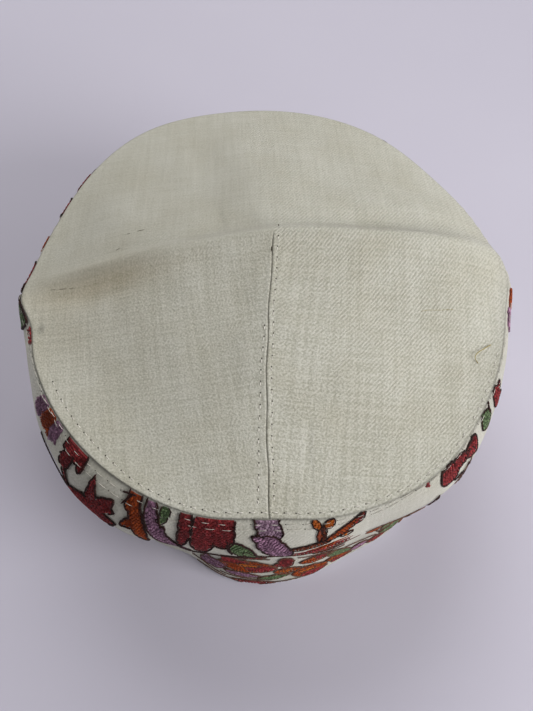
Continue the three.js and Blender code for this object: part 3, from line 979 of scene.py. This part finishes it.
# A stitch's two strands: how far they bow apart, how thick each is, and how they arch
STRANDS = {"outline": (0.18, 0.32, 0.12), "umber": (0.1, 0.24, 0.1)}
FILL_STRANDS = (0.22, 0.17, 0.1)
# Motifs with a fine outline, and those with none
FINE_MOTIFS = "fork branch branch_tip tuft green_sprig mauve_tail green_stem right_bud right_green".split()
BARE_MOTIFS = "left_stem mauve_flower fold_red fold_rust fold_low rear_one rear_three dot far_right".split()
# A flower's petals: how many, and as shares of its size how far out they start, their length, and its middle
PETALS = {"count": 5, "out": 0.1, "long": 0.4, "middle": 0.3}


def opened_flower(motif, thread, bearing, height, heading, size):
    """A flower's blades: drops that stand evenly round, and a round middle of another thread."""
    blades = []
    long = PETALS["long"] * size
    for petal in range(PETALS["count"]):
        way = heading + 360 / PETALS["count"] * petal
        out = PETALS["out"] * size
        base = bearing + out * np.cos(np.radians(way)) / AROUND
        up = height + out * np.sin(np.radians(way))
        blades.append((motif, "drop", thread, base, up, way, long, long, 0))
    middle = "rust" if thread != "rust" else "crimson"
    wide = PETALS["middle"] * size
    blades.append((motif, "petal", middle, bearing - wide / 2 / AROUND, height, 0, wide, wide, 0))
    return blades


def chart():
    """Every blade of the embroidery: the front's, its upper ones again behind, and the low sprays."""
    rows = list(FRONT_BLADES)
    low, high = UPPER["bearings"]
    for place in UPPER_AGAIN:
        for motif, form, thread, bearing, height, *rest in FRONT_BLADES:
            if height > UPPER["height"] and low < bearing < high:
                moved = (bearing + place, height - UPPER["drop"])
                rows.append((f"{motif} {place}", form, thread, *moved, *rest))
    for order, place in enumerate(LOW_PLACES):
        for number, (form, thread, off, *rest) in enumerate(LOW_SPRAYS[order % 2]):
            rows.append((f"low_{place}_{number // 2}", form, thread, place + off, *rest))
    blades = []
    for motif, form, thread, bearing, height, heading, length, width, bend in rows:
        if form == "flower":
            blades += opened_flower(f"{motif}_flower", thread, bearing, height, heading, length)
        else:
            blades.append((motif, form, thread, bearing, height, heading, length, width, bend))
    return blades


def blade_shape(form, bearing, height, heading, length, width, bend):
    """A blade's spine, the way across it and its half width, at even shares of its length.

    The spine's heading swings evenly through the bend. The half width is one minus a power of the way
    from the middle, to a power, with a small wave for the hand that drew it.
    """
    share = np.linspace(0, 1, 41)
    way = np.radians(heading + bend * (share - 0.5))
    step = length / 40 * np.stack([np.cos(way), np.sin(way)], -1)
    spine = np.array([bearing * AROUND, height]) + np.cumsum(step, 0) - step
    fullest, blunt, rounded, begin, end = FORMS[form]
    place = begin + (end - begin) * share
    half = width / 2 * (1 - np.abs(2 * place**fullest - 1) ** blunt).clip(0) ** rounded
    wave = 0
    for long, phase in ((4.7, bearing), (2.6, height)):
        wave = wave + np.sin(2 * np.pi * share * length / long + phase)
    half = half * (1 + 0.06 * wave)
    return share, spine, np.stack([-np.sin(way), np.cos(way)], -1), half


def within(points, outline):
    """True where a flat point is inside a closed outline: a line from it crosses the outline an odd number
    of times."""
    x, y = np.split(points, 2, axis=1)
    from_x, from_y = outline.T
    to_x, to_y = np.roll(outline, -1, 0).T
    spans = (from_y > y) != (to_y > y)
    rise = np.where(to_y == from_y, 1e-9, to_y - from_y)
    crossing = from_x + (y - from_y) * (to_x - from_x) / rise
    return (spans & (x < crossing)).sum(1) % 2 == 1


def stitch_scale(bearing, height):
    """Stitches on the front are the real size. Those on the sides and back are coarser, to save faces."""
    low, high = FRONT["bearings"]
    in_front = low < bearing < high
    low, high = FRONT["upper_bearings"]
    high_in_front = low < bearing < high and height > FRONT["upper_height"]
    return 1.0 if in_front or high_in_front else FRONT["coarser"]


def cut_path(cut, way, path):
    """Stitches from each cut of a path to the next, where way says how far along it each point is."""
    knots = np.stack([np.interp(cut, way, axis) for axis in path.T], -1)
    return np.stack([knots[:-1], knots[1:]], 1)


def way_along(path):
    """How far along a path each of its points is."""
    return np.concatenate([[0], np.cumsum(np.linalg.norm(np.diff(path, axis=0), axis=1))])


def fill_rows(share, spine, across, half, scale):
    """Chain stitches side by side: rows that run with the spine, each cut where the blade is too narrow.

    Stitches of every other row are moved along a little, so that their ends do not line up.
    """
    length = way_along(spine)[-1]
    reach = max(half.max() - 0.35, 0)
    count = int(2 * reach / (ROW_PITCH * scale)) + 1
    rows = []
    offsets = np.linspace(-reach, reach, count) if count > 1 else [0.0]
    for row, offset in enumerate(offsets):
        inside = share[half > abs(offset) + 0.2]
        if len(inside) < 3:
            continue
        stitches = max(round((inside[-1] - inside[0]) * length / (STITCH * scale)), 1)
        cut = np.linspace(inside[0], inside[-1], stitches + 1)
        cut[1:-1] += (row % 2 - 0.5) * 0.4 / stitches * (inside[-1] - inside[0])
        rows.append(cut_path(cut, share, spine + across * offset))
    return np.concatenate(rows or [np.zeros((0, 2, 2))])


def even_row(path, scale):
    """Stitches of even length along a path."""
    way = way_along(path)
    count = max(round(way[-1] / (EDGE_STITCH * scale)), 2)
    return cut_path(np.linspace(0, way[-1], count + 1), way, path)


def work_embroidery():
    """Works the chart into stitches: each later blade of a motif covers the ones before it, and blades of
    one thread in a motif run together with no outline between them.

    Gives each thread's flat stitches with their scale, each thread's pads, and the edge of every blade.
    """
    blades = []
    stitches = {thread: [] for thread in THREADS}
    pads = {thread: [] for thread in THREADS}
    for motif, form, thread, *place in chart():
        share, spine, across, half = blade_shape(form, *place)
        scale = stitch_scale(*place[:2])
        if form == "line":
            rows = even_row(spine, scale)
            stitches[thread].append((rows, np.full(len(rows), scale)))
            continue
        out = half[:, None] + EDGE_OUT
        edge = np.concatenate([spine + across * out, (spine - across * out)[::-1]])
        blades.append((motif, thread, (share, spine, across, half), edge, scale))
    for order, (motif, thread, parts, edge, scale) in enumerate(blades):
        fill = fill_rows(*parts, scale)
        rim = even_row(np.concatenate([edge, edge[:1]]), scale)
        keep = np.ones(len(fill), bool)
        rim_keep = np.full(len(rim), motif.split()[0] not in BARE_MOTIFS)
        for other, (other_motif, other_thread, _, other_edge, _) in enumerate(blades):
            if other == order or other_motif != motif:
                continue
            if other > order:
                keep &= ~within(fill.mean(1), other_edge)
            if other > order or other_thread == thread:
                rim_keep &= ~within(rim.mean(1), other_edge)
        line = "umber" if edge[:, 1].mean() < UMBER_BELOW else "outline"
        rim_scale = scale * (FINE_EDGE if motif.split()[0] in FINE_MOTIFS else 1)
        stitches[thread].append((fill[keep], np.full(keep.sum(), scale)))
        stitches[line].append((rim[rim_keep], np.full(rim_keep.sum(), rim_scale)))
        _, spine, across, half = parts
        wide = half[::3, None, None] * PAD_ACROSS[None, :, None]
        pads[thread].append(spine[::3, None] + across[::3, None] * wide)
    worked = {thread: [np.concatenate(part) for part in zip(*rows)] for thread, rows in stitches.items()}
    return worked, pads, [blade[3] for blade in blades]


def embroidery(thread, stitches, scale, pads, material):
    """One thread's chain stitches, each two strands that bow apart and meet again, over low domed pads
    darkened as painted shade.
    """
    middle = stitches.mean(1)
    on_band = (middle[:, 1] > WORKED[0]) & (middle[:, 1] < WORKED[1])
    stitches = stitches[on_band]
    scale = scale[on_band]
    work = LINE_WORK if thread in LINE_THREADS else FILL_WORK
    stitches = stitches + rng.normal(0, work["uneven"], stitches.shape)
    height = stitches[..., 1].clip(0.3, 89.6)
    start, normal = band_frame(stitches[:, 0, 0] / AROUND, height[:, 0])
    end, _ = band_frame(stitches[:, 1, 0] / AROUND, height[:, 1])
    lift = STITCH_LIFT * smooth_step((91 - height.mean(1)) / 3)
    tone = rng.beta(0.9, 1.5, len(stitches))
    lap = work["lap"] * (end - start)
    bow, thick, arch = STRANDS.get(thread, FILL_STRANDS)
    thick = thick * scale[:, None, None, None]
    points = []
    faces = []
    tones = []
    total = 0
    for side in (-1, 1):
        made, three = strands(start - lap, end + lap, normal, side * bow * scale, arch, lift, thick)
        points.append(made)
        faces.append(three + total)
        tones.append(np.repeat(tone, STRAND_POINTS))
        total += len(made)
    dome = PAD["dome"] * np.sqrt(1 - 0.9 * PAD_ACROSS**2) - PAD["sunk"]
    for pad in pads:
        inside = pad[..., 1].clip(0.5, 89.5)
        face, normal = band_frame(pad[..., 0] / AROUND, inside)
        ends = np.sin(np.pi * np.linspace(0.04, 0.96, len(pad))) ** 0.3
        made = face + normal * (dome * ends[:, None])[..., None]
        rows, count = pad.shape[:2]
        row, place = np.meshgrid(np.arange(rows - 1), np.arange(count - 1), indexing="ij")
        corner = row * count + place
        four = np.stack([corner, corner + count, corner + count + 1, corner + 1], -1).reshape(-1, 4)
        three = np.concatenate([four[:, [0, 1, 2]], four[:, [0, 2, 3]]])
        points.append(made.reshape(-1, 3))
        faces.append(three + total)
        tones.append(np.full(rows * count, PAD["tone"]))
        total += rows * count
    points, faces, tones = map(np.concatenate, (points, faces, tones))
    return make_piece(f"{thread}_stitches", points, faces.tolist(), material, *BAND, tone=tones)


def stitch_places(path, normal, long, pitch):
    """Starts, ends and normals of even stitches along a path of points."""
    way = way_along(path)
    first = np.arange(0.5, way[-1] - long, pitch)
    spots = []
    for place, rows in ((first, path), (first + long, path), (first + long / 2, normal)):
        spots.append(np.stack([np.interp(place, way, axis) for axis in rows.T], -1))
    return spots[0], spots[1], unit(spots[2])


def running_stitch(name, rows, lifts, thick, material, stands_for, slot):
    """Rows of running stitch: single strands that dip into the cloth at both ends."""
    points = []
    faces = []
    for (start, end, normal), lift in zip(rows, lifts):
        made, three = strands(start, end, normal, 0, 0.75 * lift, 0.25 * lift, thick)
        faces.append(three + sum(map(len, points)))
        points.append(made)
    points, faces = map(np.concatenate, (points, faces))
    tone = np.repeat(rng.uniform(0.3, 1, len(points) // STRAND_POINTS), STRAND_POINTS)
    return make_piece(name, points, faces.tolist(), material, stands_for, slot, tone=tone)


# A needle hole, a dot of painted shade: how far before its stitch it lies, how high its edge and its middle
# are, and its tone
PRICK = {"before": 0.3, "edge": 0.02, "middle": 0.07, "tone": 0.3}


def needle_holes(name, rows, sizes, material, stands_for, slot):
    """The dark pricks where stitches go into the cloth: low six-sided dots of painted shade just before each
    stitch.

    sizes holds places across the cap, from left to right, and the dot's radius at each.
    """
    start, end, normal = map(np.concatenate, zip(*rows))
    along = end - start
    spot = start - PRICK["before"] * unit(along)
    size = np.interp(start[:, 0], *sizes)
    side = unit(np.cross(normal, along))
    ahead = np.cross(side, normal)
    angle = np.radians(np.arange(6) * 60)[None, :, None]
    ring = side[:, None] * np.cos(angle) + ahead[:, None] * np.sin(angle)
    ring = spot[:, None] + ring * size[:, None, None] + normal[:, None] * PRICK["edge"]
    points = np.concatenate([(spot + normal * PRICK["middle"])[:, None], ring], 1)
    place = np.arange(6)
    fan = np.stack([np.zeros(6, int), 1 + place, 1 + (place + 1) % 6], -1)
    faces = (np.arange(len(spot))[:, None, None] * 7 + fan).reshape(-1, 3)
    tone = np.full(len(spot) * 7, PRICK["tone"])
    return make_piece(name, points.reshape(-1, 3), faces.tolist(), material, stands_for, slot, tone=tone)


# The band's two sewn rows: height and stitch length, the pitch of both, and the highest that they go
BAND_ROWS = columns("height long", [(88.2, 3.8), (86.3, 5.0)])
BAND_PITCH = 6.0
BAND_ROWS_TOP = 89.3
# How far they rise towards the rim
TOP_ROW = columns(
    "bearing raised",
    [
        (0, 0),
        (186, 0),
        (196, 2.6),
        (213, 2.6),
        (219, 0),
        (290, 0),
        (302, 2.6),
        (342, 2.6),
        (354, 0),
        (360, 0),
    ],
)
# How high a stitch of the band stands, on the cloth and over the embroidery
BAND_LIFT = {"cloth": 0.24, "embroidery": 0.74}
# The crown's sewn rows: stitch length and pitch, and the turns between which the rim's row shows
RIM_STITCH = {"long": 1.7, "pitch": 4.1, "turns": (2.3, 3.75)}
SEAM_STITCH = {"long": 1.5, "pitch": 4.15}
CROWN_LIFT = 0.2
# Half the thickness of the sewing thread
SEWING_THICK = {"band": 0.115, "crown": 0.2}
# Radius of the needle holes at places across the cap: wide on the left of the crown, fine on its right
CROWN_HOLES = ((0, 60), (0.3, 0.14))
BAND_HOLES = ((0,), (0.24,))


def row_lift(start, end, edges):
    """How high each stitch of the band stands: over the embroidery where it crosses a blade, or on cloth."""
    middle = (start + end) / 2
    bearing = np.degrees(np.arctan2(middle[:, 1] + MIDDLE[1], middle[:, 0] + MIDDLE[0])) % 360
    flat = np.stack([bearing * AROUND, middle[:, 2]], -1)
    crossed = np.any([within(flat, edge) for edge in edges], 0)
    return np.where(crossed, BAND_LIFT["embroidery"], BAND_LIFT["cloth"])


def band_rows():
    """Stitches of the two close rows round the band, under the rim."""
    bearing = np.linspace(0, 360, 2881)
    raised = eased_rows(bearing % 360, TOP_ROW["bearing"], TOP_ROW["raised"])
    rows = []
    for height, long in zip(*BAND_ROWS.values()):
        path = band_frame(bearing, np.minimum(height + raised, BAND_ROWS_TOP))
        rows.append(stitch_places(*path, long, BAND_PITCH))
    return rows


def crown_rows():
    """Stitches of the row inside the rim, and of one row on each side of the dart seam."""
    turn = np.linspace(*RIM_STITCH["turns"], 1301)
    bearing = rim_bearing(turn)
    rim_long = np.linalg.norm(rim_points(bearing) - PEAK, axis=-1)
    path = crown_frame(turn, 1 - row_inside(bearing) / rim_long)
    rows = [stitch_places(*path, RIM_STITCH["long"], RIM_STITCH["pitch"])]
    for begin, right, growth in zip(*SEAM_ROWS.values()):
        down = np.linspace(begin, SEAM_LONG - 3, 400)[:, None]
        plan = PEAK + down * SEAM_WAY + (right + growth * down) * SEAM_RIGHT
        path = crown_frame(*crown_place(plan))
        rows.append(stitch_places(*path, SEAM_STITCH["long"], SEAM_STITCH["pitch"]))
    return rows


def sew(band_cotton, crown_cotton, prick, edges):
    """The sewn rows of band and crown, and the needle holes of both."""
    on_band = band_rows()
    lifts = [row_lift(start, end, edges) for start, end, _ in on_band]
    running_stitch("band_topstitch", on_band, lifts, SEWING_THICK["band"], band_cotton, *BAND)
    on_crown = crown_rows()
    lifts = [CROWN_LIFT] * len(on_crown)
    running_stitch("crown_topstitch", on_crown, lifts, SEWING_THICK["crown"], crown_cotton, *CROWN)
    needle_holes("crown_needle_holes", on_crown, CROWN_HOLES, prick, *CROWN)
    needle_holes("band_needle_holes", on_band, BAND_HOLES, prick, *BAND)


# Two loose ends of thread on the crown's right: half thickness, plan places and heights above the cloth
LOOSE_ENDS = {
    "loose_thread_end": (
        0.17,
        [(84.5, -26.5, 0.2), (81, -28.6, 0.9), (77.9, -30.7, 1.2), (76.8, -32.6, 1), (78.2, -34.4, 0.3)],
    ),
    "fine_thread_end": (
        0.055,
        [(57.2, -16.4, 0.06), (60.6, -15.7, 0.1), (64, -15.5, 0.1), (67, -15.1, 0.1), (70, -14.7, 0.06)],
    ),
}


def loose_thread(name, thick, places, material):
    """A loose end of thread: a thin six-sided tube along a smooth curve through its places."""
    rows = columns("x y lift", places)
    knot = np.arange(len(places), dtype=float)
    place = np.linspace(0, knot[-1], 25)
    x, y, lift = (smooth_rows(place, knot, rows[axis]) for axis in ("x", "y", "lift"))
    face, normal = crown_frame(*crown_place(np.stack([x, y], -1)))
    path = face + normal * lift[:, None]
    way = unit(np.gradient(path, axis=0))
    side = unit(np.cross(normal, way))
    angle = np.radians(np.arange(6) * 60)[None, :, None]
    ring = side[:, None] * np.cos(angle) + np.cross(way, side)[:, None] * np.sin(angle)
    points = np.concatenate([(path[:, None] + thick * ring).reshape(-1, 3), path[[0, -1]]])
    faces = grid_faces(len(path), 6)[:, ::-1].tolist()
    last = (len(path) - 1) * 6
    corner = np.arange(6)
    beside = (corner + 1) % 6
    faces += np.stack([np.full(6, last + 6), beside, corner], -1).tolist()
    faces += np.stack([np.full(6, last + 7), last + corner, last + beside], -1).tolist()
    tone = np.full(len(points), 0.6)
    return make_piece(name, points, faces, material, *CROWN, tone=tone)


# Small dark marks on the crown: a back-tack, a knot on the seam, pulled threads, and painted shade along a
# fine wrinkle
SMALL_MARKS = columns(
    "x y heading long thick",
    [
        (4.1, 15, -85, 1.6, 0.3),
        (1.9, 5, -95, 2.2, 0.26),
        (-51, 21.4, 6, 3.6, 0.08),
        (-55, 21, 0, 1.6, 0.07),
        (-59, 13.6, 20, 2.2, 0.06),
        (-86, 2.8, -3, 3, 0.06),
        (-82.4, 2.6, -4, 3.6, 0.08),
        (-78.2, 2.3, -3, 2.8, 0.05),
    ],
)


def small_marks(material):
    """Short strands that lie on the crown; the strands along the wrinkle are painted shade."""
    way = np.radians(SMALL_MARKS["heading"])
    start = np.stack([SMALL_MARKS["x"], SMALL_MARKS["y"]], -1)
    end = start + SMALL_MARKS["long"][:, None] * np.stack([np.cos(way), np.sin(way)], -1)
    first, normal = crown_frame(*crown_place(start))
    last, _ = crown_frame(*crown_place(end))
    thick = SMALL_MARKS["thick"][:, None, None, None]
    points, faces = strands(first, last, normal, 0, 0.05, 0.05, thick)
    tone = np.full(len(points), 0.4)
    return make_piece("small_thread_and_wrinkle_shade_marks", points, faces.tolist(), material, *CROWN, tone=tone)


place_camera()
crown_wool = wool_twill("off_white_wool_twill", 49, "#b4b3a5", "#d2d1c6")
band_wool = wool_twill("embroidered_wool_ground", 45, "#b9b8ac", "#d4d3c9")
crown = crown_cloth(crown_wool)
band = band_cloth(band_wool)

flat_stitches, flat_pads, blade_edges = work_embroidery()
for thread_name, (shade, light) in THREADS.items():
    rough = 0.75 if thread_name in LINE_THREADS else 0.5
    dyed = twisted_thread(f"{thread_name}_embroidery_thread", shade, light, rough)
    embroidery(thread_name, *flat_stitches[thread_name], flat_pads[thread_name], dyed)
cream_cotton = twisted_thread("cream_cotton_sewing_thread", "#c0bcb2", "#e6e2d9", 0.7)
needle_prick = twisted_thread("shadowed_needle_prick", "#2a2620", "#4a453a", 0.9)
white_cotton = twisted_thread("bleached_cotton_sewing_thread", "#d6d2c8", "#f8f5ee", 0.7)
sew(cream_cotton, white_cotton, needle_prick, blade_edges)
loose_olive = twisted_thread("olive_cotton_thread_end", "#7d7040", "#b3a468", 0.7)
for end_name, (thick, places) in LOOSE_ENDS.items():
    loose_thread(end_name, thick, places, loose_olive)
small_marks(twisted_thread("dark_brown_thread_and_wrinkle_shade", "#2e281f", "#5d5342", 0.8))


# Half the floor's width in metres, the height that the lamps look at, and their warm white
FLOOR = 3
LAMP_AIM = 0.06
LAMP_WHITE = (1.0, 0.985, 0.975)
# Soft lamps round the cap: place in metres, size across and power in watts
LAMPS = columns(
    "x y z size power",
    [
        (0.7, -0.4, 0.5, 0.5, 6.3),
        (-0.1, 0.8, 0.9, 1.0, 8.6),
        (0.8, 0.0, 0.55, 0.6, 1.0),
        (-0.7, 0.1, 0.2, 0.36, 0.8),
        (0.4, -0.9, 0.25, 0.44, 0.9),
        (-0.4, -0.8, 0.2, 0.36, 0.4),
    ],
)


def floor_and_light():
    """A pale painted floor, soft lamps at the right and high behind, weak low ones, and a dim surround."""
    material, tree = blank_material("pale_matt_painted_board")
    place = add(tree, "TexCoord").outputs["Object"]
    grain = add(tree, "TexNoise", {"Vector": place, "Scale": 6.0, "Detail": 3.0}).outputs["Fac"]
    colour = add(tree, "Mix", {0: grain, 6: linear("#cac7d6"), 7: linear("#d2cfdd")}, data_type="RGBA")
    paint = {"Base Color": colour.outputs[2], "Roughness": 0.75, "Specular IOR Level": 0.2}
    shader = add(tree, "BsdfPrincipled", paint)
    add(tree, "OutputMaterial", {"Surface": shader.outputs[0]})
    mesh = bpy.data.meshes.new("floor")
    corners = [(-FLOOR, -FLOOR, 0), (FLOOR, -FLOOR, 0), (FLOOR, FLOOR, 0), (-FLOOR, FLOOR, 0)]
    mesh.from_pydata(corners, [], [(0, 1, 2, 3)])
    mesh.materials.append(material)
    floor = bpy.data.objects.new("floor", mesh)
    bpy.context.scene.collection.objects.link(floor)
    for x, y, z, size, power in zip(*LAMPS.values()):
        lamp = bpy.data.objects.new("soft_lamp", bpy.data.lights.new("soft_lamp", "AREA"))
        lamp.data.shape = "DISK"
        lamp.data.size = size
        lamp.data.energy = power
        lamp.data.color = LAMP_WHITE
        away = unit(np.array([x, y, z - LAMP_AIM]))
        side = unit(np.cross([0, 0, 1], away))
        place = np.eye(4)
        place[:3, :3] = np.stack([side, np.cross(away, side), away], 1)
        place[:3, 3] = x, y, z
        bpy.context.scene.collection.objects.link(lamp)
        lamp.matrix_world = Matrix(place.tolist())
    world = bpy.data.worlds.new("even_surround")
    world.use_nodes = True
    world.node_tree.nodes["Background"].inputs[0].default_value = (0.93, 0.93, 1.0, 1)
    world.node_tree.nodes["Background"].inputs[1].default_value = 0.03
    bpy.context.scene.world = world
    bpy.context.scene.view_settings.view_transform = "Standard"


floor_and_light()
